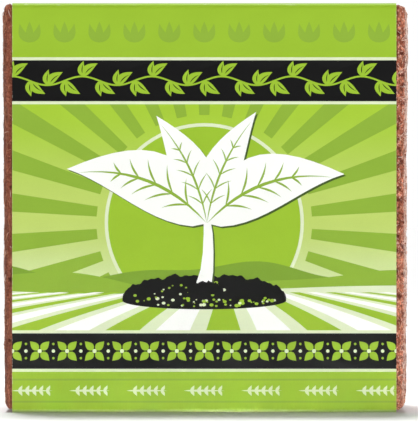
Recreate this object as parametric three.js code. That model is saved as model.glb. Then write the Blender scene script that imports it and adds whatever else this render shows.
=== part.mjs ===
// A pressed bale of coconut coir in a printed card sleeve.
//
// Units are millimetres and +Z is up. The bale stands on the sleeve's bottom panel. The origin is on
// that surface, under the middle of the bale. The front panel faces -Y, and the two bare coir ends
// face -X and +X.
//
// The coir is one pressed block. Its ends are rough, with shallow hollows, pits, ledges between the
// pressed layers and small bites out of the worn edges. The sleeve is one sheet of card, folded round
// the block's front, top, back and bottom, with its two ends glued over each other on the back.

import * as THREE from "three";
import { mergeVertices } from "three/addons/utils/BufferGeometryUtils.js";

// Driving dimensions
const COIR_WIDTH = 297.3; // along X, over the highest lumps of both ends
const PANEL_DEPTH = 120; // along Y, outside of the front panel to outside of the back panel
const PANEL_HEIGHT = 300; // along Z, outside of the bottom panel to outside of the top panel
const CARD = 0.5; // thickness of the card
const SLACK = 0.3; // room between the coir and the card
const SLEEVE_WIDTH = 281.5; // along X
const SLEEVE_SHIFT = -0.55; // the sleeve sits a little left of the block's middle
const LAP_WIDTH = 25; // how far the card's ends lie over each other on the back
const LAP_RAMP = 4; // height over which the outer end comes down to the back panel
const FOLD_SEGMENTS = 6; // facets round each fold of the card

// The block's edges. The four long ones are pressed sharp, and those round the ends are worn.
const LONG_EDGE_RADIUS = 3;
const END_EDGE_RADIUS_TOP = 6.2;
const END_EDGE_RADIUS_BOTTOM = 9.3;
const END_EDGE_WANDER = 1.4; // how much the worn edges' radius varies from place to place
const CORNER_GROWTH = 0.5; // how much rounder the section's corners get, for each mm it has drawn in
const LEFT_END_LEAN = 1.2; // the left end stands this much further in at the bottom than at the top

// How finely the block is faceted
const EDGE_SEGMENTS = 4; // facets across a worn edge
const FACET = 5.6; // aimed size of the facets on the ends
const BARE_REACH = 12; // the bare, rough part of the block ends this far from each end

// The roughness of the bare coir, all of it cut in from the pressed faces. The pressed layers lie
// across the block's depth, so that the ledges between them run up the ends.
const HOLLOW = { noise: 1, size: 26, depth: 1.2 };
const LUMP = { noise: 7, size: 10, depth: 1.1 };
const LEDGE = { noise: 2, layer: 11.2, length: 60, depth: 1.3 };
const WAVE = { noise: 3, size: 55, height: 7 }; // how the layers wander
const PIT = { noise: 4, size: 13, from: 0.62, depth: 2.4 };
const WEAR = { noise: 5, size: 40 };
const BITE = { noise: 6, count: 14, smallest: 4.5, largest: 9.5, depth: 0.6 };
const SIDE_SHARE = 0.35; // share of the roughness on the narrow strips beside the sleeve

const COIR_DEPTH = PANEL_DEPTH - 2 * (CARD + SLACK);
const COIR_HEIGHT = PANEL_HEIGHT - 2 * (CARD + SLACK);
const COIR_MIDDLE_Z = PANEL_HEIGHT / 2;
const PANEL_MIDDLE_Y = -CARD / 2; // so that the depth over the lap is centred on the origin

// Large odd numbers, which scatter the values of neighbouring lattice points
const SCATTER = [374761393, 668265263, 974634777, 1274126177];
const MIX = 2246822519;
const LARGEST_VALUE = 2 ** 32 - 1;

const { clamp, lerp } = THREE.MathUtils;

// A repeatable value from 0 to 1 for a point of the whole-number lattice and the number of a noise.
function latticeValue(i, j, k, noise) {
  let mixed = 0;
  [i, j, k, noise].forEach((number, n) => {
    mixed ^= Math.imul(number, SCATTER[n]);
  });
  mixed = Math.imul(mixed ^ (mixed >>> 15), MIX);
  mixed = Math.imul(mixed ^ (mixed >>> 13), MIX);
  return ((mixed ^ (mixed >>> 16)) >>> 0) / LARGEST_VALUE;
}

// Smooth noise from 0 to 1, with one bump or hollow for each unit of its coordinates.
function smoothNoise(x, y, z, noise) {
  const corner = [x, y, z].map(Math.floor);
  const [u, v, w] = [x, y, z].map((c, n) => THREE.MathUtils.smoothstep(c - corner[n], 0, 1));
  const value = (i, j, k) => latticeValue(corner[0] + i, corner[1] + j, corner[2] + k, noise);
  const alongX = (j, k) => lerp(value(0, j, k), value(1, j, k), u);
  return lerp(lerp(alongX(0, 0), alongX(1, 0), v), lerp(alongX(0, 1), alongX(1, 1), v), w);
}

// The bites out of the worn edges: each has a centre on the outline of an end, and a radius.
function edgeBites() {
  const bites = [];
  for (const side of [-1, 1]) {
    for (let n = 0; n < BITE.count; n++) {
      const turn = ((n + 0.8 * latticeValue(n, side, 0, BITE.noise)) / BITE.count) * 2 * Math.PI;
      const [c, s] = [Math.cos(turn), Math.sin(turn)];
      const reach = 1 / Math.max(Math.abs(c), Math.abs(s)); // from a circle out to a rectangle
      const centre = new THREE.Vector3(
        (side * COIR_WIDTH) / 2,
        (c * reach * COIR_DEPTH) / 2,
        COIR_MIDDLE_Z + (s * reach * COIR_HEIGHT) / 2,
      );
      const share = latticeValue(n, side, 1, BITE.noise);
      bites.push({ centre, radius: lerp(BITE.smallest, BITE.largest, share) });
    }
  }
  return bites;
}

const BITES = edgeBites();

// How far the rough surface lies under the pressed face at a point.
function roughDepth(p) {
  const noiseOf = ({ size, noise }) => smoothNoise(p.x / size, p.y / size, p.z / size, noise);
  const layer = Math.floor((p.y + WAVE.height * noiseOf(WAVE)) / LEDGE.layer);
  const ledge = smoothNoise(p.x / LEDGE.length, layer, p.z / LEDGE.length, LEDGE.noise);
  const pit = Math.max(0, noiseOf(PIT) - PIT.from) / (1 - PIT.from);
  const bites = BITES.map(({ centre, radius }) => Math.max(0, radius - p.distanceTo(centre)));
  return (
    HOLLOW.depth * noiseOf(HOLLOW) +
    LUMP.depth * noiseOf(LUMP) +
    LEDGE.depth * ledge +
    PIT.depth * pit +
    BITE.depth * Math.max(...bites)
  );
}

// Places from -1 to 1 across a side of the section: close together round its two corners.
function sideStations(length) {
  const corner = [0, LONG_EDGE_RADIUS * (1 - Math.tan(Math.PI / 8)), LONG_EDGE_RADIUS];
  const between = length - 2 * LONG_EDGE_RADIUS;
  const steps = Math.round(between / FACET);
  const places = [...corner];
  for (let n = 1; n < steps; n++) {
    places.push(LONG_EDGE_RADIUS + (n / steps) * between);
  }
  places.push(...corner.map((place) => length - place).reverse());
  return places.map((place) => (2 * place) / length - 1);
}

// The point at v, w of the section that has drawn in by inset, and the way out of the block there.
function sectionPoint(v, w, inset) {
  const halfY = COIR_DEPTH / 2 - inset;
  const halfZ = COIR_HEIGHT / 2 - inset;
  const radius = LONG_EDGE_RADIUS + CORNER_GROWTH * inset;
  const core = new THREE.Vector2(
    clamp(v * halfY, radius - halfY, halfY - radius),
    clamp(w * halfZ, radius - halfZ, halfZ - radius),
  );
  const out = new THREE.Vector2(v * halfY, w * halfZ).sub(core);
  const reach = Math.max(Math.abs(out.x), Math.abs(out.y)); // bends the square corner into an arc
  out.normalize();
  return { y: core.x + reach * out.x, z: core.y + reach * out.y, out };
}

// The block starts as a box of unit cells, each vertex of which knows its place in three rows of
// stations. Along X they step across one worn edge, span the block, and step across the other edge.
function coirBlock() {
  const sideY = sideStations(COIR_DEPTH);
  const sideZ = sideStations(COIR_HEIGHT);
  const cells = [2 * (EDGE_SEGMENTS + 1) + 1, sideY.length - 1, sideZ.length - 1];
  const geometry = new THREE.BoxGeometry(...cells, ...cells);
  const position = geometry.getAttribute("position");
  const corner = new THREE.Vector3(...cells).multiplyScalar(0.5);
  const place = new THREE.Vector3();

  for (let n = 0; n < position.count; n++) {
    place.fromBufferAttribute(position, n).add(corner).round();
    const side = place.x <= EDGE_SEGMENTS + 1 ? -1 : 1;
    const step = side < 0 ? place.x : cells[0] - place.x; // 0 on the end's face
    const [v, w] = [sideY[place.y], sideZ[place.z]];
    const covered = step > EDGE_SEGMENTS;

    // Across the worn edge the surface turns from the end's face into the block's sides
    const turn = (Math.min(step, EDGE_SEGMENTS) / EDGE_SEGMENTS) * (Math.PI / 2);
    const wear = smoothNoise(
      side,
      (v * COIR_DEPTH) / 2 / WEAR.size,
      (w * COIR_HEIGHT) / 2 / WEAR.size,
      WEAR.noise,
    );
    const radius =
      lerp(END_EDGE_RADIUS_BOTTOM, END_EDGE_RADIUS_TOP, (w + 1) / 2) + END_EDGE_WANDER * (wear - 0.5);
    const section = sectionPoint(v, w, radius * (1 - Math.sin(turn)));
    const fromEnd = covered ? BARE_REACH : radius * (1 - Math.cos(turn));
    const lean = side < 0 ? (LEFT_END_LEAN * (1 - w)) / 2 : 0;
    const point = new THREE.Vector3(
      side * (COIR_WIDTH / 2 - fromEnd - lean),
      section.y,
      COIR_MIDDLE_Z + section.z,
    );

    if (!covered) {
      const out = new THREE.Vector3(
        side * Math.cos(turn),
        section.out.x * Math.sin(turn),
        section.out.y * Math.sin(turn),
      ).normalize();
      point.addScaledVector(out, -lerp(SIDE_SHARE, 1, Math.cos(turn)) * roughDepth(point));
    }
    position.setXYZ(n, point.x, point.y + PANEL_MIDDLE_Y, point.z);
  }

  geometry.deleteAttribute("normal");
  geometry.deleteAttribute("uv");
  const closed = mergeVertices(geometry);
  closed.computeVertexNormals();
  return closed;
}

// Draws a rectangle with round corners, from the bottom round by +Y. The sheet's outline has the lap
// on its +Y side.
function drawAround(path, halfY, bottom, top, radius, lap = []) {
  path.moveTo(radius - halfY, bottom);
  path.lineTo(halfY - radius, bottom);
  path.absarc(halfY - radius, bottom + radius, radius, -Math.PI / 2, 0);
  lap.forEach(([y, z]) => path.lineTo(y, z));
  path.lineTo(halfY, top - radius);
  path.absarc(halfY - radius, top - radius, radius, 0, Math.PI / 2);
  path.lineTo(radius - halfY, top);
  path.absarc(radius - halfY, top - radius, radius, Math.PI / 2, Math.PI);
  path.lineTo(-halfY, bottom + radius);
  path.absarc(radius - halfY, bottom + radius, radius, Math.PI, 1.5 * Math.PI);
  return path;
}

function cardSleeve() {
  const back = PANEL_DEPTH / 2;
  const foldRadius = LONG_EDGE_RADIUS + SLACK + CARD;
  const lapBottom = (PANEL_HEIGHT - LAP_WIDTH) / 2;
  const lapTop = (PANEL_HEIGHT + LAP_WIDTH) / 2;
  const lap = [
    [back, lapBottom],
    [back + CARD, lapBottom],
    [back + CARD, lapTop],
    [back, lapTop + LAP_RAMP],
  ];
  const sheet = drawAround(new THREE.Shape(), back, 0, PANEL_HEIGHT, foldRadius, lap);
  const inside = [back - CARD, CARD, PANEL_HEIGHT - CARD, foldRadius - CARD];
  sheet.holes.push(drawAround(new THREE.Path(), ...inside));
  return new THREE.ExtrudeGeometry(sheet, {
    depth: SLEEVE_WIDTH,
    bevelEnabled: false,
    curveSegments: FOLD_SEGMENTS,
  });
}

const coir = new THREE.MeshStandardMaterial({ color: 0x96604a, roughness: 0.95, metalness: 0 });
const printedCard = new THREE.MeshStandardMaterial({ color: 0x9ec53c, roughness: 0.5, metalness: 0 });

const block = new THREE.Mesh(coirBlock(), coir);
block.name = "coir_block";

// The sleeve's outline is drawn across Y and Z, and is extruded along X.
const sleeve = new THREE.Mesh(cardSleeve(), printedCard);
sleeve.name = "card_sleeve";
sleeve.quaternion.setFromRotationMatrix(
  new THREE.Matrix4().makeBasis(
    new THREE.Vector3(0, 1, 0),
    new THREE.Vector3(0, 0, 1),
    new THREE.Vector3(1, 0, 0),
  ),
);
sleeve.position.set(SLEEVE_SHIFT - SLEEVE_WIDTH / 2, PANEL_MIDDLE_Y, 0);

const bale = new THREE.Group();
bale.name = "coir_bale";
bale.add(block, sleeve);

export default bale;
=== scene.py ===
"""A pressed bale of coconut coir in a printed card sleeve, standing on a pale floor.

Sizes are in metres, except those of the print and of noise, cells and bumps, which are in millimetres.
"""

from math import atan, ceil, cos, inf, pi, radians, sin, sqrt

import bmesh
import bpy
import numpy as np
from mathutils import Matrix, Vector, noise
from mathutils.bvhtree import BVHTree
from mathutils.geometry import delaunay_2d_cdt


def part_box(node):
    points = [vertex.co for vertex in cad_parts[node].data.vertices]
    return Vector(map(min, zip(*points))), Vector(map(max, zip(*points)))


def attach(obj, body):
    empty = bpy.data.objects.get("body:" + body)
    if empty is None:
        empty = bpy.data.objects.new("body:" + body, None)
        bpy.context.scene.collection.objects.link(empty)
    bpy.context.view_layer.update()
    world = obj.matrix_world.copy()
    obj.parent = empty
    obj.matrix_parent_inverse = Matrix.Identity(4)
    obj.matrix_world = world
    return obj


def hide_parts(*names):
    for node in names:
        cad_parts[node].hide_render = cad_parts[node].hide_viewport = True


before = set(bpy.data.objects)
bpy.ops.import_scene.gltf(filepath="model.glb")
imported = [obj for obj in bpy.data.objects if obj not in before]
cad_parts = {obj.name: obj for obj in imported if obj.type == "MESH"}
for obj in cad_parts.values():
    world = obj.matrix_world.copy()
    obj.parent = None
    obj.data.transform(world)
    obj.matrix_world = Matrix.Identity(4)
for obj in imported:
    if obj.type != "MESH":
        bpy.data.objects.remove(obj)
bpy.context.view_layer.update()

MM = 0.001

# The sleeve as the frame has it, and how its sheet is folded
SLEEVE_LOW, SLEEVE_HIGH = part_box("card_sleeve")
MIDDLE_X = (SLEEVE_LOW.x + SLEEVE_HIGH.x) / 2
HALF_SLEEVE = (SLEEVE_HIGH.x - SLEEVE_LOW.x) / 2
HEIGHT = SLEEVE_HIGH.z
BLOCK_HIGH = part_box("coir_block")[1]
CARD = 0.5 * MM
FRONT = SLEEVE_LOW.y
BACK = SLEEVE_HIGH.y - CARD  # the back panel, beside the lap
FOLD_RADIUS = 3.8 * MM
FOLD_STEPS = 6
LAP_WIDTH = 25 * MM
LAP_RAMP = 4 * MM
LAP_BOTTOM = (HEIGHT - LAP_WIDTH) / 2
LAP_TOP = (HEIGHT + LAP_WIDTH) / 2
SHEET_THICKNESS = 0.45 * MM
SHEET_CELL = 9 * MM  # how finely the sheet can bend
WAVE_HEIGHT = 0.2 * MM
WAVE_LENGTH = 75 * MM
EDGE_LIFT = 0.3 * MM  # how far the sheet's open edges stand off the coir
EDGE_REACH = 16 * MM
RIPPLE_LENGTH = 40 * MM  # of the lifted edges' ripples
RIPPLE_WIDTH = 300 * MM
FLAT_START = 20 * MM  # how far from the flat bottom panel the waves start to die out


def linear(*srgb):
    """A colour of 0 to 255 as the linear values that shaders take."""
    return tuple(((c / 255 + 0.055) / 1.055) ** 2.4 for c in srgb) + (1.0,)


INKS = {
    "lime": linear(156, 194, 50),
    "panel": linear(191, 212, 108),
    "tonal": linear(143, 179, 58),
    "green": linear(127, 163, 52),
    "deep_green": linear(70, 92, 40),
    "pale": linear(224, 235, 198),
    "white": linear(254, 255, 251),
    "black": linear(9, 9, 9),
}
PANEL_COLOURS = (linear(222, 234, 194), linear(191, 213, 108), linear(167, 204, 56))  # from its foot up
PANEL_HEIGHTS = (0.058, 0.145, 0.226)
PALE_INKS = ("lime", "tonal", "panel")
BARE_CARD = linear(226, 220, 206)
FOLD_RUB = 2.6 * MM  # how far from a fold's corner and from an open edge the ink can be rubbed
EDGE_RUB = 0.9 * MM

# The coir, from the painted shade of its pits to its dry fibres
COIR_PIT_SHADE = linear(84, 34, 22)
COIR_DARK = linear(108, 55, 40)
COIR_MIDDLE = linear(148, 84, 63)
COIR_LIGHT = linear(204, 132, 104)
# Pale dust, which also serves as the painted highlight on the right end's rounded edges
COIR_DUST_AND_HIGHLIGHT = linear(236, 212, 200)
FIBRE_DARK = linear(116, 62, 42)
FIBRE_LIGHT = linear(220, 158, 122)


class Shader:
    """Builds a material's nodes around its Principled shader."""

    def __init__(self, name, specular, **more):
        self.material = bpy.data.materials.new(name)
        self.material.use_nodes = True
        self.nodes = self.material.node_tree.nodes
        self.surface = self.nodes["Principled BSDF"]
        for socket, value in {"Specular IOR Level": specular, **more}.items():
            self.join(value, self.surface.inputs[socket])

    def join(self, value, socket):
        if isinstance(value, bpy.types.NodeSocket):
            self.material.node_tree.links.new(value, socket)
        else:
            socket.default_value = value

    def add(self, kind, inputs, output=0, **settings):
        node = self.nodes.new("ShaderNode" + kind)
        for name, value in settings.items():
            setattr(node, name, value)
        for name, value in inputs.items():
            self.join(value, node.inputs[name])
        return node.outputs[output]

    def places(self, stretch=(1, 1, 1)):
        """Object coordinates, in metres, each multiplied by its stretch."""
        places = self.add("TexCoord", {}, "Object")
        return self.add("VectorMath", {0: places, 1: stretch}, operation="MULTIPLY")

    def noise(self, size, detail=2.0, stretch=(1, 1, 1), roughness=0.5):
        """Noise with bumps about size millimetres across."""
        inputs = {"Scale": 1 / (size * MM), "Detail": detail, "Roughness": roughness}
        return self.add("TexNoise", {"Vector": self.places(stretch), **inputs}, "Fac")

    def ramp(self, value, low, high, start=0.0, end=1.0):
        """start where value is low, end where it is high, and smooth between them."""
        inputs = {"Value": value, "From Min": low, "From Max": high, "To Min": start, "To Max": end}
        return self.add("MapRange", inputs, interpolation_type="SMOOTHSTEP")

    def math(self, operation, value, *others):
        """The values joined by an operation, one after the other."""
        for other in others:
            value = self.add("Math", {0: value, 1: other}, operation=operation)
        return value

    def plus(self, *values):
        return self.math("ADD", *values)

    def times(self, *values):
        return self.math("MULTIPLY", *values)

    def attribute(self, name):
        return self.add("Attribute", {}, "Fac", attribute_name=name)

    def cells(self, size, stretch=(1, 1, 1)):
        """For cells about size millimetres across: a random value of 0 to 1 each, and how far the middle
        is. They are longer along an axis whose stretch is under 1."""
        size *= MM
        places = self.places(stretch)
        drift = self.add("TexNoise", {"Vector": places, "Scale": 1.3 / size, "Detail": 3.0}, "Color")
        drift = self.add("VectorMath", {0: drift, 1: (1.2 * size,) * 3}, operation="MULTIPLY")
        bent = self.add("VectorMath", {0: places, 1: drift}, operation="ADD")
        colour = self.add("TexVoronoi", {"Vector": bent, "Scale": 1 / size}, "Color")
        return self.add("SeparateColor", {0: colour}), colour.node.outputs["Distance"]

    def mix(self, share, a, b, blend="MIX"):
        return self.add("Mix", {0: share, 6: a, 7: b}, 2, data_type="RGBA", blend_type=blend)

    def shaded(self, colour, shade):
        """A colour with its red, green and blue multiplied by a shade."""
        return self.mix(1.0, colour, self.add("CombineColor", {0: shade, 1: shade, 2: shade}), "MULTIPLY")

    def finish(self, colour, roughness, height, depth):
        """Joins the colour, the roughness and a bump whose height of 0 to 1 is depth millimetres."""
        bump = self.add("Bump", {"Height": height, "Distance": depth * MM, "Strength": 1.0})
        for socket, value in (("Base Color", colour), ("Roughness", roughness), ("Normal", bump)):
            self.join(value, self.surface.inputs[socket])
        return self.material


def away_from(shader, coordinate, low, high):
    """How far a coordinate is outside the stretch from low to high, in metres."""
    under = shader.math("SUBTRACT", low, coordinate)
    over = shader.math("SUBTRACT", coordinate, high)
    return shader.math("MAXIMUM", under, over, 0.0)


def ink_material(name):
    """Ink on satin card: faintly mottled, with the card's grain, worn along folds and edges, and with a
    painted highlight along the bottom fold.
    """
    shader = Shader("ink_" + name, 0.13)
    mix, ramp, times = shader.mix, shader.ramp, shader.times
    x, y, z = shader.add("SeparateXYZ", {0: shader.places()}).node.outputs

    colour = INKS[name]
    if name == "panel":
        low, middle, high = PANEL_HEIGHTS
        colour = mix(ramp(z, low, middle), PANEL_COLOURS[0], PANEL_COLOURS[1])
        colour = mix(ramp(z, middle, high), colour, PANEL_COLOURS[2])
    mottled = ramp(shader.noise(0.9, 3.0), 0.3, 0.7, 0.97, 1.0)
    cloudy = shader.noise(28, 3.0)
    colour = shader.shaded(colour, shader.plus(mottled, ramp(cloudy, 0.3, 0.7, -0.02, 0.01)))

    # Rubbed spots show the card: on the folds, and on the sheet's two open edges. The pale band along the
    # bottom fold is partly worn ink and partly a painted highlight against the fold's shade
    in_fold = shader.math(
        "MINIMUM",
        away_from(shader, y, FRONT + FOLD_RUB, BACK - FOLD_RUB),
        away_from(shader, z, FOLD_RUB, HEIGHT - FOLD_RUB),
    )
    at_edge = away_from(shader, x, SLEEVE_LOW.x + EDGE_RUB, SLEEVE_HIGH.x - EDGE_RUB)
    rubbed_and_painted_light = shader.noise(2.6, 4.0, (0.3, 1, 1), 0.65)
    nicked = shader.noise(1.8, 3.0, (1, 0.4, 0.4), 0.65)
    wear = times(ramp(in_fold, 0.6 * MM, 1.3 * MM), ramp(rubbed_and_painted_light, 0.56, 0.66, 0.0, 0.35))
    nicks = times(ramp(at_edge, 0.3 * MM, 0.9 * MM), ramp(nicked, 0.55, 0.65, 0.0, 0.6))
    low_fold_wear_and_highlight = times(ramp(z, 2.7 * MM, 0.9 * MM), ramp(rubbed_and_painted_light, 0.3, 0.6, 0.2, 0.38))
    hairline = ramp(at_edge, 0.1 * MM, 0.6 * MM, 0.0, 0.1 if name in PALE_INKS else 0.0)
    colour = mix(shader.math("MAXIMUM", wear, nicks, low_fold_wear_and_highlight, hairline), colour, BARE_CARD)

    roughness = ramp(cloudy, 0.3, 0.7, 0.42, 0.52)
    return shader.finish(colour, roughness, shader.noise(0.5, 2.0), 0.012)


def bare_card_material():
    shader = Shader("bare_card", 0.25)
    fleck = shader.ramp(shader.noise(0.7, 4.0), 0.35, 0.7)
    colour = shader.mix(fleck, BARE_CARD, linear(206, 198, 180))
    return shader.finish(colour, shader.ramp(fleck, 0, 1, 0.8, 0.9), shader.noise(0.4, 3.0), 0.03)


# The sheet of card


def sheet_route():
    """The outside of the card from its inner end round to its outer end, as rows of: length so far,
    y, z, and the y and z of the way out. It starts under the lap and goes down the back first."""
    points = [(BACK, LAP_TOP, 0.0)]
    near, far = FRONT + FOLD_RADIUS, BACK - FOLD_RADIUS
    low, high = FOLD_RADIUS, HEIGHT - FOLD_RADIUS
    for quarter, (y, z) in enumerate([(far, low), (near, low), (near, high), (far, high)]):
        for step in range(FOLD_STEPS + 1):
            turn = -(quarter + step / FOLD_STEPS) * pi / 2
            points.append((y + FOLD_RADIUS * cos(turn), z + FOLD_RADIUS * sin(turn), turn))
    whole_turn = -2 * pi
    points.append((BACK, LAP_TOP + LAP_RAMP, whole_turn))
    points.append((BACK + CARD, LAP_TOP, whole_turn))
    points.append((BACK + CARD, LAP_BOTTOM, whole_turn))
    y, z, turn = np.array(points).T
    length = np.concatenate([[0], np.cumsum(np.hypot(np.diff(y), np.diff(z)))])
    return np.array([length, y, z, np.cos(turn), np.sin(turn)])


ROUTE = sheet_route()
SHEET_LENGTH = ROUTE[0][-1]
# How far along the sheet the four folds start and end
FOLD_START, FOLD_END = ROUTE[0][1:-3].reshape(4, FOLD_STEPS + 1)[:, [0, -1]].T

# Where each panel's own heights start on the sheet, in mm, and which way they run. The back's foot and
# head meet under the lap. The top's heights run from front to back, and the others are over the floor.
PANELS = {
    "foot": (LAP_TOP / MM, -1),
    "front": ((FOLD_END[1] - FOLD_RADIUS) / MM, 1),
    "top": ((FOLD_END[2] - FOLD_RADIUS) / MM, 1),
    "head": ((FOLD_END[3] - FOLD_RADIUS + HEIGHT) / MM, -1),
}


def cut_off(outline, part, low, high):
    """What is left of an outline from low to high. part gives the coordinate."""
    for limit, side in ((low, 1), (high, -1)):
        kept = []
        for a, b in zip(outline, np.roll(outline, -1)):
            over_a, over_b = side * (part(a) - limit), side * (part(b) - limit)
            if over_a >= 0:
                kept.append(a)
            if over_a * over_b < 0:
                kept.append(a + (b - a) * over_a / (over_a - over_b))
        outline = np.array(kept)
    return outline


class Print:
    """The unfolded sheet with its areas of ink, the last one on top, in millimetres. Outlines are
    arrays of complex numbers: across + 1j * along."""

    def __init__(self):
        self.half_width = HALF_SLEEVE / MM
        self.corners, self.areas, self.inks = [], [], []
        self.rule_grid()

    def add(self, ink, outline):
        outline = cut_off(outline, np.real, -self.half_width, self.half_width)
        outline = cut_off(outline, np.imag, 0, SHEET_LENGTH / MM)
        if len(outline) < 3:
            return
        if np.sum(np.imag(np.conj(outline) * np.roll(outline, -1))) < 0:
            outline = outline[::-1]
        first = len(self.corners)
        self.corners.extend(outline)
        self.areas.append(list(range(first, len(self.corners))))
        self.inks.append(ink)

    def rule_grid(self):
        """Covers the sheet with lime, in strips and cells that are fine enough to bend."""
        rows = [ROUTE[0][0]]
        for length in ROUTE[0][1:]:
            steps = max(1, round((length - rows[-1]) / SHEET_CELL))
            rows.extend(np.linspace(rows[-1], length, steps + 1)[1:])
        rows = np.array(rows) / MM
        for low, high in zip(rows, rows[1:]):
            self.add("lime", box_outline(-self.half_width, low, self.half_width, high))
        columns = round(2 * HALF_SLEEVE / SHEET_CELL)
        for across in np.linspace(-self.half_width, self.half_width, columns + 1):
            self.corners.extend(across + 1j * rows)

    def faces(self):
        """Cuts the sheet along every outline. Gives the corners, the triangles and their inks."""
        corners = [(c.real, c.imag) for c in self.corners]
        cut = delaunay_2d_cdt([Vector(c) for c in corners], [], self.areas, 0, 1e-4, True)
        names = [self.inks[max(areas)] for areas in cut[5] if areas]
        faces = [face for face, areas in zip(cut[2], cut[5]) if areas]
        return np.array(cut[0]) * MM, faces, names


class Panel:
    """One panel of the sheet. Outlines on it have its own heights."""

    def __init__(self, sheet, name):
        self.sheet = sheet
        self.start, self.way = PANELS[name]

    def draw(self, ink, outline, lowest=-inf, highest=inf):
        """Adds an area, cut off at lowest and highest."""
        outline = cut_off(outline, np.imag, lowest, highest)
        self.sheet.add(ink, np.real(outline) + 1j * (self.start + self.way * np.imag(outline)))

    def strip(self, ink, low, high):
        """Adds an area right across the sheet."""
        self.draw(ink, box_outline(-150, low, 150, high))


# Outlines for the print


def box_outline(left, low, right, high):
    return np.array([left + 1j * low, right + 1j * low, right + 1j * high, left + 1j * high])


def round_box(left, low, right, high, radius):
    centres = np.roll(box_outline(left + radius, low + radius, right - radius, high - radius), -1)
    arc = np.exp(1j * np.linspace(-pi / 2, 0, 8))
    return np.concatenate([c + radius * arc * 1j**n for n, c in enumerate(centres)])


def ellipse(centre, half_width, half_height=None, steps=44):
    turn = np.arange(steps) * 2 * pi / steps
    return centre + half_width * np.cos(turn) + 1j * (half_height or half_width) * np.sin(turn)


def leaf(base, tip, width, bend=0.0):
    """A pointed leaf, fuller towards its base. bend is how far it bows, as a share of its length."""
    t = np.linspace(0, 1, 13)
    middle = t + 4j * bend * t * (1 - t)
    half = 1j * width / abs(tip - base) / 2 * np.sin(pi * t**0.75)
    return base + (tip - base) * np.concatenate([middle - half, (middle + half)[-2:0:-1]])


def veins(base, tip, width, bend, pairs=5):
    """A leaf's midrib and side veins, as thin leaf outlines."""
    axis = 0.93 * (tip - base)
    yield leaf(base, base + axis, 0.055 * width, bend)
    for n in range(pairs):
        t = 0.17 + 0.66 * n / pairs
        start = base + axis * (t + 4j * bend * t * (1 - t))
        reach = 0.5 * width * sin(pi * (t + 0.1) ** 0.75)
        along = axis / abs(axis) * np.exp(1j * atan(4 * bend * (1 - 2 * t)))
        for side in (-1, 1):
            yield leaf(start, start + reach * along * np.exp(side * 0.8j), 0.036 * width, -side * 0.07)


def ray(centre, turn, half_angle, near, far):
    turns = turn + half_angle * np.array([-1, -1, 1, 1])
    return centre + np.exp(1j * turns) * [near, far, far, near]


def stem(points, widths):
    """A tapered stroke along points, as wide as widths."""
    way = np.gradient(points)
    side = 1j * way / np.abs(way) * np.array(widths) / 2
    return np.concatenate([points - side, (points + side)[::-1]])


def ground(height, swells, low):
    """Rolling ground: swells are (amplitude, wavelength, start) of waves on its height."""
    x = np.linspace(-150, 150, 76)
    top = sum((a * np.sin((x - start) * 2 * pi / wave) for a, wave, start in swells), height)
    return np.concatenate([[150 + 1j * low], (x + 1j * top)[::-1], [-150 + 1j * low]])


# The motifs of the print, which are plain plant ornaments


def draw_band(panel, low, high, ornament):
    """A black band between pale lines, with a row of ornaments."""
    panel.strip("pale", low - 2.2, high + 2.2)
    panel.strip("black", low, high)
    ornament(panel, (low + high) / 2)


def garland(panel, height, pitch=12.8, swing=3.2):
    """A waving stem with leaves on both sides in turn."""
    x = np.linspace(-146, 146, 190)
    wave = x + 1j * (height + swing * np.sin(x * pi / pitch / 2))
    panel.draw("lime", stem(wave, np.full(len(x), 1.3)))
    for n in range(-11, 12):
        foot = n * pitch + 1j * (height + swing * sin(n * pi / 2))
        side = 1 if n % 2 else -1
        for way, length, width in ((2.3 + 1.9j * side, 15, 6.4), (0.2 + 1.9j * side, 11.5, 5.2)):
            tip = foot + way / abs(way) * length
            panel.draw("lime", leaf(foot, tip, width, 0.1 * side))
            rib = leaf(foot + 0.2 * (tip - foot), foot + 0.8 * (tip - foot), 0.7, 0.08 * side)
            panel.draw("black", rib)


def flowers(panel, height, pitch=20.1):
    """Small four-petalled flowers with beads between them."""
    for n in range(-7, 8):
        centre = n * pitch + 1j * height
        for turn in range(4):
            way = np.exp(1j * pi * (turn / 2 + 0.25))
            panel.draw("lime", leaf(centre + 1.2 * way, centre + 10 * way, 5.6))
        panel.draw("pale", ellipse(centre, 1.5, steps=16))
        panel.draw("pale", ellipse(centre + pitch / 2, 1.25, steps=16))
        for side in (-1, 1):
            panel.draw("lime", ellipse(centre + pitch / 2 + 5.2j * side, 0.9, steps=12))


def furrow(vanishing, left, right, low, bow):
    """A furrow from near the vanishing point down to left and right, at height low."""
    t = np.linspace(0.3, 1, 14)
    edges = [vanishing + (foot + 1j * low - vanishing) * t + bow * t * (1 - t) for foot in (left, right)]
    return np.append(edges[0], edges[1][::-1])


def draw_field(panel, low):
    """Rolling hills, and a field whose furrows run towards them."""
    panel.draw("green", ground(104, ((5, 210, -30), (2.5, 95, 20)), low))
    panel.draw("tonal", ground(97, ((6, 260, 60), (2, 120, 0)), low))
    crest = 90
    panel.draw("pale", ground(crest, ((3, 420, 40),), low))
    vanishing = 14 + 1j * (crest + 10)
    pitch = 37
    half = 0.34 * pitch
    for n in range(-13, 14):
        middle = vanishing.real + n * pitch
        ink = "white" if n % 2 else "lime"
        panel.draw(ink, furrow(vanishing, middle - half, middle + half, low, 9 * n))


def sprout_parts(foot, size):
    """A seedling's stem and leaves: the outline of each, and a leaf's base, tip, width and bend."""
    joint = foot + size * (0.02 + 0.5j)
    spine = foot + size * np.array([-0.01, 0.02 + 0.14j, 0.03 + 0.28j, 0.03 + 0.42j, 0.02 + 0.54j])
    yield stem(spine, size * np.array([0.125, 0.098, 0.082, 0.07, 0.05])), None
    for tip, width, bend in (
        (-1.06 + 0.92j, 0.46, -0.13),
        (1.08 + 0.88j, 0.45, 0.13),
        (-0.37 + 1.33j, 0.31, -0.07),
        (0.4 + 1.36j, 0.3, 0.07),
    ):
        shape = (joint, foot + size * tip, size * width, bend)
        yield leaf(*shape), shape


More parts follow.
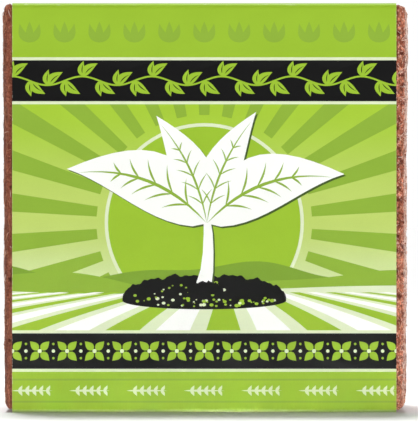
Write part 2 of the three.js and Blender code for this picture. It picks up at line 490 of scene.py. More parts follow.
def draw_sprout(panel, foot, size):
    """A white seedling with a thin shadow and veined leaves."""
    parts = list(sprout_parts(foot, size))
    for outline, _ in parts:
        panel.draw("deep_green", outline + size * (0.013 - 0.013j))
    for outline, _ in parts:
        panel.draw("white", outline)
    for _, shape in parts:
        if shape:
            for vein in veins(*shape):
                panel.draw("tonal", vein)


def draw_soil(panel, centre, half_width, high):
    """A heap of dark soil with pale crumbs in it."""
    turn = np.linspace(0, pi, 110)
    bumps = 1 + 0.05 * np.sin(turn * 17) + 0.04 * np.sin(turn * 29 + 1) + 0.03 * np.sin(turn * 53)
    top = half_width * np.cos(turn) + 1j * high * np.sin(turn) ** 0.75 * bumps
    bottom = half_width * np.cos(turn[::-1]) - 0.34j * high * np.sin(turn[::-1])
    panel.draw("black", centre + np.concatenate([top, bottom[1:-1]]))
    random = np.random.default_rng(5)
    for _ in range(80):
        away, turn = sqrt(random.random()), random.uniform(-pi, pi)
        rise = 0.8 if turn > 0 else 0.26
        place = centre + 0.88 * away * (half_width * cos(turn) + 1j * rise * high * sin(turn))
        size = random.uniform(0.35, 1.3)
        ink = "lime" if random.random() < 0.6 else "pale"
        panel.draw(ink, ellipse(place, size * 1.3, size, steps=9))


def draw_heap(panel, centre, half_width, high):
    """A small heap of soil, such as round a stem's foot."""
    turn = np.linspace(0, pi, 30)
    rough = 1 + 0.1 * np.sin(turn * 15) + 0.07 * np.sin(turn * 26 + 2)
    top = half_width * np.cos(turn) + 1j * high * np.sin(turn) * rough
    panel.draw("black", centre + np.append(top, [-half_width - 3j, half_width - 3j]))


def draw_tufts(panel, height, leaves, width, bend=0.0, most=5, pitch=25.6):
    """A row of tufts, with most of them on either side of the middle one. Leaves that lean bow outwards."""
    for n in range(-most, most + 1):
        foot = n * pitch + 1j * height
        for way in leaves:
            panel.draw("tonal", leaf(foot, foot + way, width, -bend * np.sign(way.real)))


def draw_sprig(panel, centre, length):
    """A small level sprig with leaves in pairs."""
    panel.draw("pale", leaf(centre - length / 2, centre + length / 2, 0.05 * length))
    for n in range(-2, 3):
        foot = centre + n * 0.17 * length
        for side in (-1, 1):
            way = 0.16 * length * np.exp(side * 0.95j)
            panel.draw("pale", leaf(foot, foot + way, 0.075 * length, -0.1 * side))


def draw_bands(panel):
    """The bands over and under the picture of the front and the frame of the back."""
    draw_band(panel, 228, 258, garland)
    draw_band(panel, 32, 58, flowers)


def draw_front(front):
    sun = 139j
    low, high = 60.2, 225.8  # of the picture between the bands
    front.strip("panel", low, high)
    for n in range(30):
        beam = ray(sun, (n + 0.5) * pi / 15, radians(2.7), 79, 260)
        front.draw("tonal", beam, low, high)
    front.draw("pale", ellipse(sun, 73, steps=80))
    front.draw("lime", ellipse(sun, 70.5, steps=80))
    draw_field(front, low)
    draw_soil(front, 82j, 60, 19)
    draw_sprout(front, 91j, 95)
    draw_heap(front, 1 + 89.5j, 13, 6.5)
    draw_bands(front)
    draw_tufts(front, 271, (-7.2 + 14j, 15.5j, 7.2 + 14j), 5.6, 0.12)
    for n in range(-3, 4):
        draw_sprig(front, n * 42 + 16j, 30)
    for height in (7.2, 23.4):
        front.strip("tonal", height, height + 1.4)


def draw_top(top):
    draw_band(top, 45, 75, garland)
    for height, up in ((24, 13j), (96, -13j)):
        draw_tufts(top, height, (up - 7, up, up + 7), 5.2)


def draw_back(foot, head):
    """The same bands and frame on both parts of the back, and a row of three signs in the frame."""
    for panel in (foot, head):
        draw_bands(panel)
        panel.draw("tonal", round_box(-122, 68, 122, 218, 13))
        panel.draw("pale", round_box(-119.5, 70.5, 119.5, 215.5, 11))
        draw_tufts(panel, 82, (-9 + 22j, 27j, 9 + 22j), 8, 0.12, most=4)
    row, apart = 190j, 74
    for across in (-apart, 0, apart):
        head.draw("tonal", ellipse(row + across, 21.8, steps=60))
        head.draw("black", ellipse(row + across, 20.4, steps=60))
    for across in (-apart / 2, apart / 2):
        for shift in (-3, 1.5):
            chevron = across + shift + np.array([0, 3.4, -3.4 + 6j, -6.8 + 6j, 0, -6.8 - 6j, -3.4 - 6j, 3.4])
            head.draw("green", row - np.conj(chevron))
    draw_block_sign(head, row + apart + 2j)
    draw_drops(head, row)
    sprout_foot = row - apart - 9j
    draw_heap(head, sprout_foot, 9, 4.5)
    head.draw("lime", ellipse(sprout_foot - 1.5j, 13, 2.8))
    for outline, _ in sprout_parts(sprout_foot, 14):
        head.draw("white", outline)


def draw_block_sign(head, corner):
    """A small block, with its nearest corner towards the eye."""
    across, up, tall = 11, 4.6j, 11j
    top = np.array([0, across + up, 2 * up, up - across])
    right = np.array([0, -tall, across + up - tall, across + up])
    for ink, outline in (("white", top), ("lime", right), ("tonal", -np.conj(right))):
        head.draw(ink, corner + outline)


def draw_drops(head, centre):
    for shift, size in ((-7 - 2j, 4.4), (1 + 4j, 5.4), (8 - 4j, 3.8)):
        turn = np.linspace(-pi * 0.86, pi * 0.86, 30) - pi / 2
        drop = np.append(np.exp(1j * turn), 2.15j) * size
        head.draw("white", centre + shift + drop)


def eased(value, low, high):
    t = np.clip((value - low) / (high - low), 0, 1)
    return t * t * (3 - 2 * t)


def flat_noise(a, b, seed):
    return np.array([noise.noise(Vector((x, y, seed))) for x, y in zip(a, b)])


def sheet_offset(across, along):
    """How far the sheet stands off its true place: long shallow waves, and open edges that lift."""
    waves = flat_noise(across / WAVE_LENGTH, along / WAVE_LENGTH, 2.5)
    ripple = flat_noise(along / RIPPLE_LENGTH, across / RIPPLE_WIDTH, 9.5)
    edge = eased(np.abs(across), HALF_SLEEVE - EDGE_REACH, HALF_SLEEVE)
    off = WAVE_HEIGHT * (0.5 + 0.5 * waves) + EDGE_LIFT * edge * (0.5 + 0.5 * ripple)
    # The panel that the bale stands on stays flat, and the folds keep close to the block
    at_fold = np.abs(along[:, None] - (FOLD_START + FOLD_END) / 2).min(1) < 2 * FOLD_RADIUS
    flat = eased(along, FOLD_START[0] - FLAT_START, FOLD_START[0])
    flat = flat - flat * eased(along, FOLD_END[1], FOLD_END[1] + FLAT_START)
    return off * (1 - flat) * (1 - 0.6 * at_fold)


def printed_sleeve():
    sheet = Print()
    draw_front(Panel(sheet, "front"))
    draw_top(Panel(sheet, "top"))
    draw_back(Panel(sheet, "foot"), Panel(sheet, "head"))
    flat, faces, inks = sheet.faces()
    across, along = flat.T
    y, z, out_y, out_z = (np.interp(along, ROUTE[0], row) for row in ROUTE[1:])
    out = np.stack([0 * y, out_y, out_z], 1)
    out /= np.linalg.norm(out, axis=1)[:, None]
    outside = np.stack([MIDDLE_X + across, y, z], 1) + out * sheet_offset(across, along)[:, None]
    inside = outside - out * SHEET_THICKNESS

    # The triangles' way round gives their outside, once the sheet is folded
    count = len(flat)
    faces = [face[::-1] for face in faces]
    used = dict.fromkeys((a, b) for face in faces for a, b in zip(face, face[1:] + face[:1]))
    rim = [(b, a, a + count, b + count) for a, b in used if (b, a) not in used]
    inner = [tuple(c + count for c in reversed(face)) for face in faces]

    mesh = bpy.data.meshes.new("printed_sleeve")
    mesh.from_pydata(np.concatenate([outside, inside]).tolist(), [], faces + inner + rim)
    names = list(INKS)
    for name in names:
        mesh.materials.append(ink_material(name))
    mesh.materials.append(bare_card_material())
    slots = [names.index(ink) for ink in inks] + [len(names)] * (len(inner) + len(rim))
    mesh.polygons.foreach_set("material_index", slots)
    finished(mesh, "card_sleeve")
    sleeve_map(mesh, flat)


def placed(name, data):
    """A new object in the scene."""
    thing = bpy.data.objects.new(name, data)
    bpy.context.scene.collection.objects.link(thing)
    return thing


def vertex_places(mesh):
    return np.array([vertex.co for vertex in mesh.vertices])


def face_corners(mesh):
    """The vertex and the face of each corner of a mesh's faces."""
    sides = [face.loop_total for face in mesh.polygons]
    return np.array([c.vertex_index for c in mesh.loops]), np.repeat(np.arange(len(sides)), sides)


def add_map(mesh, places):
    """Adds the map that an export bakes colours through, with a place for each face's corner."""
    mesh.uv_layers.new(name="OFBake").uv.foreach_set("vector", np.ravel(places))


def sleeve_map(mesh, flat):
    """The sheet's outside, laid flat in two columns, with its inside and its rim squeezed in above."""
    corners, face = face_corners(mesh)
    across, along = flat[corners % len(flat)].T
    outside = corners < len(flat)
    count = np.bincount(face)
    share_outside = (np.bincount(face, outside) / count)[face]
    middle = (np.bincount(face, along) / count)[face]

    gap = 3 * MM
    width = 2 * HALF_SLEEVE + gap
    front_start, top_end = FOLD_START[1], FOLD_END[3]
    second_column = (middle < front_start) | (middle > top_end)
    u = across + width * (0.5 + second_column)
    v = along - front_start * ~second_column - (top_end - front_start - gap) * (middle > top_end)

    inside_start = front_start + SHEET_LENGTH - top_end + 2 * gap
    inside_width = 2 * width - inside_start - 2 * gap
    inside_u = gap + (2 * width - 2 * gap) * along / SHEET_LENGTH
    inside_v = inside_start + gap + inside_width * (across / HALF_SLEEVE + 1) / 2
    rim_width = 0.8 * gap * (outside & (share_outside < 1))
    inside_u += rim_width * ((along > SHEET_LENGTH - 1e-6) * 1 - (along < 1e-6) * 1)
    inside_v += rim_width * np.sign(across) * (np.abs(across) > HALF_SLEEVE - 1e-6)
    places = np.where(share_outside == 1, (u, v), (inside_u, inside_v))
    add_map(mesh, places.T / (2 * width))


def finished(mesh, node, sharp=radians(40), smooth=True):
    """Makes the piece of a mesh, smooth but for its sharp edges, that stands for a node."""
    mesh.polygons.foreach_set("use_smooth", [smooth] * len(mesh.polygons))
    if sharp:
        mesh.set_sharp_from_angle(angle=sharp)
    mesh.validate()
    mesh.update()
    piece = placed(mesh.name, mesh)
    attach(piece, "root")
    if node:
        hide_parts(node)


# The coir block and what lies loose on its bare parts

COIR_SHEEN = {"Sheen Weight": 0.25, "Sheen Roughness": 0.5, "Sheen Tint": linear(255, 232, 220)}
# In millimetres, for the left and the right end: how much further they stand out than the frame's block
# at some heights, how far out the press left them nearly flat there, and how much higher their top is
# beside the sleeve and at its corner
END_HEIGHTS = (2, 12, 25, 80, 200, 260, 280, 290, 297)
END_SWELL = {
    -1: (1.4, 0.9, 1.0, 1.1, 0.9, 0.7, 0.6, 0.9, 2.3),
    1: (0.4, -0.4, 0.3, 0.6, 1.1, 1.5, 2.2, 1.6, 1.2),
}
END_LINE = {
    -1: (146.6, 146.7, 146.8, 147.0, 147.6, 147.9, 148.0, 148.1, 148.1),
    1: (147.1, 147.2, 147.4, 147.6, 147.8, 148.4, 148.5, 148.5, 148.5),
}
FLATTENED = 0.8  # the share that is pressed away of what would stand out past the line
TOP_SWELL = {-1: (1.4, 0.6), 1: (1.0, -1.9)}
TOP_REACH = 17 * MM
COIR_END_PAINTED_LIGHT = (1.06, 1.55)  # painted light: how much lighter the left and the right end are painted, for the light that falls more on the right end
COIR_ROUGH = {-1: 0.65, 1: 1.0}  # how deep the relief of the left and the right end is
MOST_RELIEF = 1.6 * MM  # the depth that the "relief" attribute spans
BARE_START = HALF_SLEEVE + 0.3 * MM  # across from the sleeve's middle, where the coir is clear of the card
BARE_FULL = HALF_SLEEVE + 2.0 * MM


def noise_at(places, size, seed, stretch=(1, 1, 1)):
    """Noise of about -1 to 1 at each place, with bumps about size millimetres across."""
    return np.array([noise.noise(Vector(p)) for p in places * (np.array(stretch) / (size * MM)) + seed])


def cells_at(places, size, seed=0.0):
    """The distances from each place to its two nearest cell centres, in cells of size millimetres."""
    pairs = [noise.voronoi(Vector(p))[0][:2] for p in places / (size * MM) + seed]
    return np.array(pairs).T


def coir_relief(places, normals):
    """How high each place of the coir stands, in metres: crumbs, creases, pits and split layers."""
    lumps = 0.4 * noise_at(places, 5, 3.0) + 0.3 * noise_at(places, 2.1, 8.0)
    nearest, second = cells_at(places, 3.4)
    creases = 1 - eased(second - nearest, 0.0, 0.3)
    pit, _ = cells_at(places, 8.5, 20.0)
    pits = 1 - eased(pit, 0.1, 0.27)
    layers = noise_at(places, 6.5, 31.0, (0.25, 1, 0.12)) + 0.25 * noise_at(places, 4, 5.0)
    is_layered = eased(noise_at(places, 30, 50.0), -0.1, 0.25)
    splits = (1 - eased(np.abs(layers), 0.0, 0.13)) * is_layered
    on_end = eased(np.abs(normals[:, 0]), 0.5, 0.9)
    return (0.55 + lumps - 0.35 * creases - 1.1 * pits - 0.9 * splits * on_end) * MM


def by_height(sides, x, z):
    """Each place's value, in metres, from the list of its own side at END_HEIGHTS."""
    left, right = (np.interp(z / MM, END_HEIGHTS, sides[side]) for side in (-1, 1))
    return np.where(x > 0, right, left) * MM


def outline_swell(places, normals):
    """How the bare ends differ from the frame's block: a little longer, with uneven tops."""
    swell = np.zeros(places.shape)
    x, _, z = places.T
    clear = np.abs(x - MIDDLE_X) - BARE_START
    near_top = eased(z, HEIGHT - TOP_REACH, HEIGHT - 3 * MM)
    way = np.sign(x)
    swell[:, 0] = way * by_height(END_SWELL, x, z) * eased(normals[:, 0] * way, 0.2, 0.7)
    for side in (-1, 1):
        up = np.interp(clear, (0, 5 * MM), TOP_SWELL[side]) * MM
        swell[:, 2] += (x * side > 0) * up * near_top * eased(clear, 0, 0.8 * MM)
    return swell


def pressed_in(places):
    """How far the press pushed each place back along x."""
    x, _, z = places.T
    past = np.maximum(np.abs(x) - by_height(END_LINE, x, z), 0)
    return -np.sign(x) * FLATTENED * past


def finer(mesh):
    """A mesh with its faces subdivided twice and smoothed."""
    piece = placed("finer", mesh)
    piece.modifiers.new("finer", "SUBSURF").levels = 2
    result = bpy.data.meshes.new_from_object(piece.evaluated_get(bpy.context.evaluated_depsgraph_get()))
    bpy.data.objects.remove(piece)
    return result


def coir_block():
    """The CAD block's own surface, with finer faces and the relief of pressed pith on its bare parts."""
    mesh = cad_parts["coir_block"].data.copy()
    mesh.materials.clear()
    cut = bmesh.new()
    cut.from_mesh(mesh)
    bmesh.ops.remove_doubles(cut, verts=cut.verts, dist=1e-6)
    bmesh.ops.join_triangles(cut, faces=cut.faces, angle_face_threshold=1.2, angle_shape_threshold=1.2)
    cut.to_mesh(mesh)
    cut.free()
    mesh = finer(mesh)
    mesh.name = "pressed_coir"

    places = vertex_places(mesh)
    normals = np.array([normal.vector for normal in mesh.vertex_normals])
    across = np.abs(places[:, 0] - MIDDLE_X)
    bare = across > BARE_START - 3 * MM
    relief = np.zeros(len(places))
    relief[bare] = coir_relief(places[bare], normals[bare])
    relief *= np.where(places[:, 0] > 0, COIR_ROUGH[1], COIR_ROUGH[-1])
    places[bare] += outline_swell(places[bare], normals[bare])
    room_out = eased(across, BARE_START, BARE_FULL)
    room_in = eased(across, BARE_START - 3 * MM, BARE_START)
    places += normals * (relief * np.where(relief > 0, room_out, room_in))[:, None]
    places[:, 0] += pressed_in(places)
    mesh.vertices.foreach_set("co", places.ravel())
    for name, values in (
        ("relief", 0.45 + relief / MOST_RELIEF),
        ("edge", on_edge(places)),
        ("near_edge", near_edge(places)),
    ):
        mesh.attributes.new(name, "FLOAT", "POINT").data.foreach_set("value", np.clip(values, 0, 1))
    mesh.materials.append(coir_material())
    finished(mesh, "coir_block", None)
    block_map(mesh)
    return mesh


def inset(places):
    """How far inside the outline of an end each place on the coir is, in metres."""
    _, y, z = np.transpose(places)
    return np.minimum(BLOCK_HIGH.y - np.abs(y), HEIGHT / 2 - np.abs(z - HEIGHT / 2))


def on_edge(places):
    """The share of 0 to 1 that places on the coir are on the rounded edges of its ends."""
    x, _, z = np.transpose(places)
    far_out = 1 - eased(by_height(END_LINE, x, z) - np.abs(x), 0.9 * MM, 2.6 * MM)
    return far_out * (1 - eased(inset(places), 3.5 * MM, 8.5 * MM))


def near_edge(places):
    """The same for being near an end's outline, where the coir crumbles more."""
    return 1 - eased(inset(places), 6 * MM, 20 * MM)


def block_map(mesh):
    """Both ends laid flat side by side, each with its edges and, squeezed, half of the sides round it."""
    x, y, z = vertex_places(mesh).T
    half = np.abs(x).max(), np.abs(y).max(), HEIGHT / 2
    depth = half[0] - np.abs(x)
    bare = half[0] - HALF_SLEEVE + 3 * MM
    depth = np.minimum(depth, bare) + 0.05 * np.maximum(depth - bare, 0)
    spread = 20 * MM  # how near the outline the end starts to bend over
    flat = []
    for place, reach in ((y, half[1]), (z - HEIGHT / 2, half[2])):
        bend = np.maximum(np.abs(place) - reach + spread, 0) / spread
        flat.append(place + np.sign(place) * depth * bend)
    corners, face = face_corners(mesh)
    right = (np.bincount(face, x[corners]) > 0)[face]
    u, v = (part[corners] for part in flat)
    size = 2 * max(np.abs(part).max() for part in flat) + 2 * MM
    add_map(mesh, np.stack([u / size + 0.25 + 0.5 * right, v / size + 0.5], 1))


def coir_material():
    shader = Shader("pressed_coir", 0.15, **COIR_SHEEN)
    mix, plus, ramp, times = shader.mix, shader.plus, shader.ramp, shader.times
    grains, _ = shader.cells(1.3, (1, 1, 0.5))
    specks, from_speck = shader.cells(0.75, (1, 1, 0.6))
    strands = shader.noise(1.0, 3.0, (0.35, 1, 0.16), 0.6)
    streaks = shader.noise(1.4, 2.0, (1, 1, 0.06), 0.5)
    clods = shader.noise(9, 4.0, roughness=0.6)
    relief = shader.attribute("relief")
    x = shader.add("SeparateXYZ", {0: shader.places()})

    def by_end(left, right):
        return ramp(x, -HALF_SLEEVE, HALF_SLEEVE, left, right)

    # The left end is smoother and streaked, and the right one has more contrast, most near its outline
    crumbled = times(by_end(0.0, 1.0), ramp(shader.attribute("near_edge"), 0, 1, 0.2, 1.0))
    contrast = times(plus(grains, times(strands, 0.5), -0.75), crumbled)
    tone = plus(
        times(grains, by_end(0.1, 0.42)),
        times(strands, by_end(0.2, 0.5)),
        times(streaks, by_end(0.65, 0.0)),
        times(contrast, 0.14),
        ramp(clods, 0.3, 0.7, -0.12, 0.12),
        # painted shade on the relief's low parts, and a little painted light on its high parts
        ramp(relief, 0.3, 0.95, -0.22, 0.08),
    )
    colour = mix(ramp(tone, 0.12, 0.45), COIR_DARK, COIR_MIDDLE)
    colour = mix(ramp(tone, 0.42, 0.8), colour, COIR_LIGHT)
    fleck = mix(times(crumbled, 0.7), COIR_LIGHT, COIR_DUST_AND_HIGHLIGHT)
    colour = mix(ramp(specks, 0.8, 0.98, 0.0, 0.55), colour, fleck)
    # Painted shade in the relief's pits
    colour = mix(ramp(relief, 0.45, 0.05), colour, COIR_PIT_SHADE)
    # Painted shade in hollows, which the bump sinks too
    sunk = ramp(shader.noise(3.2, 2.0), 0.42, 0.33)
    hollows = times(sunk, ramp(crumbled, 0, 1, 0.2, 0.85))
    colour = mix(hollows, colour, COIR_PIT_SHADE)

    # Painted light: the right end is painted lighter, and the rounded edges of the ends get a painted
    # highlight on the right, partly pale dust, and painted shade on the left
    colour = shader.shaded(colour, by_end(*COIR_END_PAINTED_LIGHT))
    rubbed_and_painted_light = times(
        shader.attribute("edge"),
        ramp(grains, 0.1, 0.7, 0.6, 1.0),
        ramp(strands, 0.3, 0.6, 0.7, 1.0),
        ramp(clods, 0.38, 0.55, 0.65, 1.0),
    )
    colour = mix(rubbed_and_painted_light, colour, mix(by_end(0.0, 1.0), COIR_DARK, COIR_DUST_AND_HIGHLIGHT))
    # Painted shade in the gaps between the specks, which the bump sinks too
    colour = mix(ramp(from_speck, 0.42, 0.85, 0.0, 0.55), colour, COIR_PIT_SHADE)

    rough = plus(shader.noise(0.5, 3.0, roughness=0.65), times(strands, 0.6))
    height = shader.math("SUBTRACT", rough, times(from_speck, 0.6), hollows)
    return shader.finish(colour, ramp(strands, 0.3, 0.7, 0.85, 0.97), height, 0.4)


class Litter:
    """Small loose pieces that are joined into one mesh. Each vertex has a tone, of 0 for the darkest and
    1 or more for pale ones, and a spot in its piece's own cell of the map for an export."""

    def __init__(self, most):
        self.cells = ceil(sqrt(most))
        self.count = 0
        self.corners, self.faces, self.tones, self.spots = [], [], [], []

    def add(self, corners, faces, tones, spots):
        row, column = divmod(self.count, self.cells)
        first = len(self.corners)
        self.corners.extend(corners)
        self.faces.extend(tuple(first + c for c in face) for face in faces)
        self.tones.extend(tones)
        self.spots.extend(((column + u) / self.cells, (row + v) / self.cells) for u, v in spots)
        self.count += 1

    def piece(self, name, material, smooth):
        mesh = bpy.data.meshes.new(name)
        mesh.from_pydata(self.corners, [], self.faces)
        mesh.attributes.new("tone", "FLOAT", "POINT").data.foreach_set("value", self.tones)
        mesh.materials.append(material)
        finished(mesh, None, None, smooth)
        add_map(mesh, np.array(self.spots)[face_corners(mesh)[0]])


def bare_spots(mesh, side, count, random):
    """Random places on the bare coir of one end, with the surface's normals there."""
    mesh.calc_loop_triangles()
    places = vertex_places(mesh)[np.array([tuple(t.vertices) for t in mesh.loop_triangles])]
    cross = np.cross(places[:, 1] - places[:, 0], places[:, 2] - places[:, 0])
    area = np.linalg.norm(cross, axis=1)
    across = (places.mean(1)[:, 0] - MIDDLE_X) * side
    area[across < BARE_START] = 0
    picks = random.choice(len(area), count, p=area / area.sum())
    a, b = np.sqrt(random.random(count)), random.random(count)
    shares = np.stack([1 - a, a * (1 - b), a * b], 1)
    return np.einsum("ij,ijk->ik", shares, places[picks]), cross[picks] / area[picks][:, None]


STRAND_COUNT = 4600  # fibres and chips on one end
STRAND_STEP = 4 * MM
SIDES = 3  # of a strand
SHORTEST_FIBRE = 4 * MM
LONGEST_FIBRE = 40 * MM
FIBRE_RADIUS = 0.07 * MM, 0.17 * MM
HIGHEST_TIP = 2 * MM  # how far a fibre's end may stand off the coir
CHIP_SHARE = {-1: 0.05, 1: 0.4}  # how many of the strands near an end's outline are short broad chips
CHIP_LENGTH = 3 * MM, 6.5 * MM
CHIP_RADIUS = 0.22 * MM, 0.42 * MM
CRUMB_COUNT = 6500


def strand(surface, start, is_chip, random):
    """The middle line of one fibre along the coir and the way out at each of its points."""
    length = min(LONGEST_FIBRE, random.gamma(1.6, 6 * MM) + SHORTEST_FIBRE)
    if is_chip:
        length = random.uniform(*CHIP_LENGTH)
    steps = max(3, round(length / STRAND_STEP))
    turn = random.uniform(0, 2 * pi)
    way = Vector((cos(turn), random.normal(0, 0.22), sin(turn)))
    arch = abs(random.normal(0, 0.25 * MM))
    rise = 0 if is_chip else min(HIGHEST_TIP, random.exponential(0.22 * MM))
    bend = random.normal(0, 0.1)
    place = Vector(start)
    line, out = [], []
    for step in range(steps + 1):
        near, normal = surface.find_nearest(place)[:2]
        share = step / steps
        clear = eased(abs(near.x - MIDDLE_X), BARE_START - 0.2 * MM, BARE_START + 1.2 * MM)
        lift = 0.05 * MM + arch * sin(pi * share) + rise * share**3
        line.append(near + normal * (lift * clear - 0.6 * MM * (1 - clear)))
        out.append(normal)
        way = (way - way.dot(normal) * normal).normalized()
        way = (way + way.cross(normal) * (bend + random.normal(0, 0.16))).normalized()
        place = near + way * length / steps
    return line, out


def add_strand(litter, line, out, radius, tone, pale):
    """One fibre. Its tone goes up by as much as pale on the coir's rounded edges, as a painted highlight."""
    steps = len(line) - 1
    corners, faces, tones, spots = [], [], [], []
    for n, (place, normal) in enumerate(zip(line, out)):
        way = (line[min(n + 1, steps)] - line[max(n - 1, 0)]).normalized()
        side = way.cross(normal).normalized()
        up = side.cross(way)
        thick = radius * (0.35 + 0.65 * sin(pi * (0.12 + 0.8 * n / steps)))
        tones.extend([tone + pale * on_edge(place)] * SIDES)
        for corner in range(SIDES):
            turn = 2 * pi * corner / SIDES + pi / 2
            corners.append(place + (side * cos(turn) + up * sin(turn)) * thick)
            spots.append(((n + 0.3 * corner + 0.5) / (steps + 1.6), 0.15 + 0.35 * corner))
    for n in range(steps):
        for corner in range(SIDES):
            a, b = n * SIDES + corner, n * SIDES + (corner + 1) % SIDES
            faces.append((a, b, b + SIDES, a + SIDES))
    last = steps * SIDES
    faces.append(tuple(reversed(range(SIDES))))
    faces.append(tuple(range(last, last + SIDES)))
    litter.add(corners, faces, tones, spots)


def strands_on(mesh, surface, side, random):
    """The fibres and chips of one end. Most chips are near its outline, where they are palest."""
    strands = Litter(STRAND_COUNT)
    for start in bare_spots(mesh, side, STRAND_COUNT, random)[0]:
        crumbled = near_edge(start)
        is_chip = random.random() < CHIP_SHARE[side] * (0.15 + 0.85 * crumbled)
        line, out = strand(surface, start, is_chip, random)
        tone = random.beta(1.3, 2.6)
        radius = random.uniform(*FIBRE_RADIUS) * (1 + tone * 0.5)
        if is_chip:
            tone += (0.45 + 0.75 * random.random()) * (0.4 + 0.6 * crumbled)
            radius = random.uniform(*CHIP_RADIUS)
        # Fibres on the right end's rounded edges get a painted highlight
        add_strand(strands, line, out, radius, tone, pale=1.2 * (side > 0))
    return strands


def crumb_shape():
    """A ball's corners and faces, and each corner's spot: seen from above, with the under side spread
    out round the upper one."""
    ball = bmesh.new()
    bmesh.ops.create_icosphere(ball, subdivisions=1, radius=1)
    corners = np.array([v.co for v in ball.verts])
    faces = [tuple(v.index for v in f.verts) for f in ball.faces]
    ball.free()
    return corners, faces, 0.5 + corners[:, :2] * (0.28 - 0.2 * corners[:, 2:])


def crumbs_on(mesh, side, random):
    crumbs = Litter(CRUMB_COUNT)
    ball, faces, spots = crumb_shape()
    for place, normal in zip(*bare_spots(mesh, side, CRUMB_COUNT, random)):
        if abs(place[0] - MIDDLE_X) < BARE_START + 0.8 * MM:
            continue
        size = (0.22 + random.gamma(1.5, 0.16)) * MM * random.uniform(0.55, 1.0, 3)
        corners = ball * size * random.uniform(0.6, 1.25, (len(ball), 1))
        corners += place + normal * size.min() * 0.05
        crumbs.add(corners.tolist(), faces, [random.random()] * len(ball), spots)
    return crumbs


def loose_coir(mesh):
    """Fibres and crumbs on both bare ends."""
    surface = BVHTree.FromPolygons(vertex_places(mesh).tolist(), [tuple(p.vertices) for p in mesh.polygons])
    fibre, crumb = fibre_material(), crumb_material()
    for end, side in (("left", -1), ("right", 1)):
        random = np.random.default_rng(11 + side)
        strands_on(mesh, surface, side, random).piece("coir_fibres_" + end, fibre, smooth=True)
        crumbs_on(mesh, side, random).piece("coir_crumbs_" + end, crumb, smooth=False)


def fibre_material():
    shader = Shader("coir_fibre", 0.3)
    uneven = shader.ramp(shader.noise(2.5, 3.0), 0.3, 0.7, -0.18, 0.18)
    tone = shader.plus(shader.attribute("tone"), uneven)
    colour = shader.mix(shader.ramp(tone, 0.0, 1.0), FIBRE_DARK, FIBRE_LIGHT)
    # High tones, of pale chips and of fibres with a painted highlight on the right end's rounded edges, go
    # towards the pale dust colour
    colour = shader.mix(shader.ramp(tone, 0.8, 1.6, 0.0, 0.9), colour, COIR_DUST_AND_HIGHLIGHT)
    return shader.finish(colour, shader.ramp(tone, 0, 1, 0.8, 0.65), shader.noise(0.3), 0.03)


def crumb_material():
    shader = Shader("coir_crumb", 0.2)
    uneven = shader.ramp(shader.noise(0.8, 3.0), 0.3, 0.7, -0.3, 0.3)
    tone = shader.plus(shader.attribute("tone"), uneven)
    colour = shader.mix(shader.ramp(tone, 0.0, 0.6), COIR_DARK, COIR_MIDDLE)
    colour = shader.mix(shader.ramp(tone, 0.7, 1.1), colour, COIR_LIGHT)
    return shader.finish(colour, shader.ramp(tone, 0, 1, 0.9, 0.97), shader.noise(0.4, 3.0), 0.15)


# Camera, floor and lights

PHOTO_HEIGHT = 425  # pixels
SLEEVE_PIXELS = 409.5  # the sleeve's height in the photograph
VIEW_CENTRE = Vector((2.9 * MM, FRONT, 146.5 * MM))
CAMERA_DISTANCE = 2.6


def make_camera():
    data = bpy.data.cameras.new("camera")
    data.sensor_width = 36
    view_height = HEIGHT / SLEEVE_PIXELS * PHOTO_HEIGHT
    data.lens = data.sensor_width * CAMERA_DISTANCE / view_height
    data.clip_end = 200
    camera = placed("camera", data)
    camera.location = VIEW_CENTRE - Vector((0, CAMERA_DISTANCE, 0))
    camera.rotation_euler = (pi / 2, 0, 0)
    bpy.context.scene.camera = camera


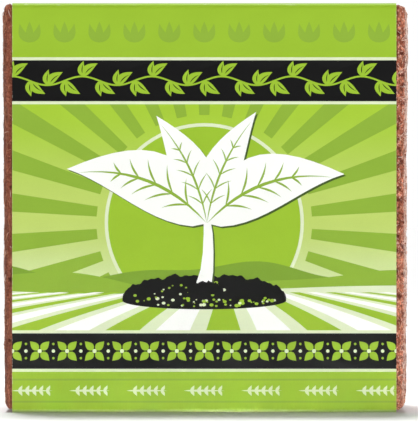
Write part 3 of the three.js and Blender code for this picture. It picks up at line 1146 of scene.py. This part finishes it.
def make_floor():
    mesh = bpy.data.meshes.new("floor")
    corners = box_outline(-30, -30, 30, 30)
    mesh.from_pydata([(c.real, c.imag, 0) for c in corners], [], [(0, 1, 2, 3)])
    shader = Shader("floor", 0.2)
    colour = shader.mix(shader.noise(300, 2.0), linear(243, 243, 243), linear(246, 246, 246))
    mesh.materials.append(shader.finish(colour, 0.8, shader.noise(2), 0.02))
    placed("floor", mesh)


def area_light(name, place, target, watts, width, height, spread=180):
    """A light that faces its target. spread is in degrees."""
    data = bpy.data.lights.new(name, "AREA")
    data.energy = watts
    data.shape = "RECTANGLE"
    data.size = width
    data.size_y = height
    data.spread = radians(spread)
    light = placed(name, data)
    light.location = place
    light.rotation_euler = (Vector(target) - Vector(place)).to_track_quat("-Z", "Y").to_euler()
    light.visible_camera = False


def light_scene():
    """A dim sky that the camera sees white, a broad sun from the front, and fills."""
    bpy.context.scene.view_settings.view_transform = "Standard"
    world = bpy.data.worlds.new("studio")
    world.use_nodes = True
    bpy.context.scene.world = world
    nodes, links = world.node_tree.nodes, world.node_tree.links
    sky = nodes["Background"].inputs
    sky["Color"].default_value = (1, 1, 1, 1)
    strength = nodes.new("ShaderNodeMapRange")
    strength.inputs["To Min"].default_value = 0.12
    links.new(nodes.new("ShaderNodeLightPath").outputs["Is Camera Ray"], strength.inputs["Value"])
    links.new(strength.outputs[0], sky["Strength"])

    sun = bpy.data.lights.new("key", "SUN")
    sun.energy = 3.35
    sun.angle = radians(17)
    placed("key", sun).rotation_euler = Vector((-0.06, 0.295, 1)).to_track_quat("Z", "Y").to_euler()
    area_light("fill_left", (-1.9, -2.8, 0.17), (0, 0, 0.15), 22, 1.4, 0.3)
    area_light("fill_right", (1.9, -2.8, 0.17), (0, 0, 0.15), 34, 1.4, 0.3)
    area_light("low", (0, -2.7, 0.03), (0, 0, 0.03), 0.04, 0.5, 0.06, 5)
    # The last millimetres over the floor have a row of small lights, which need fewer samples than one
    for n in range(6):
        x = (n - 2.5) * 0.06
        area_light("foot", (x, -2.7, 0.003), (x, FRONT, 0.003), 0.0028, 0.06, 0.004, 1.4)
    area_light("right", (1.7, 0.2, 0.75), (0.14, 0, 0.15), 9.5, 0.6, 0.6)
    area_light("left", (-1.6, 0.6, 0.9), (-0.14, 0, 0.15), 5, 0.6, 0.6)


make_camera()
make_floor()
light_scene()
printed_sleeve()
loose_coir(coir_block())
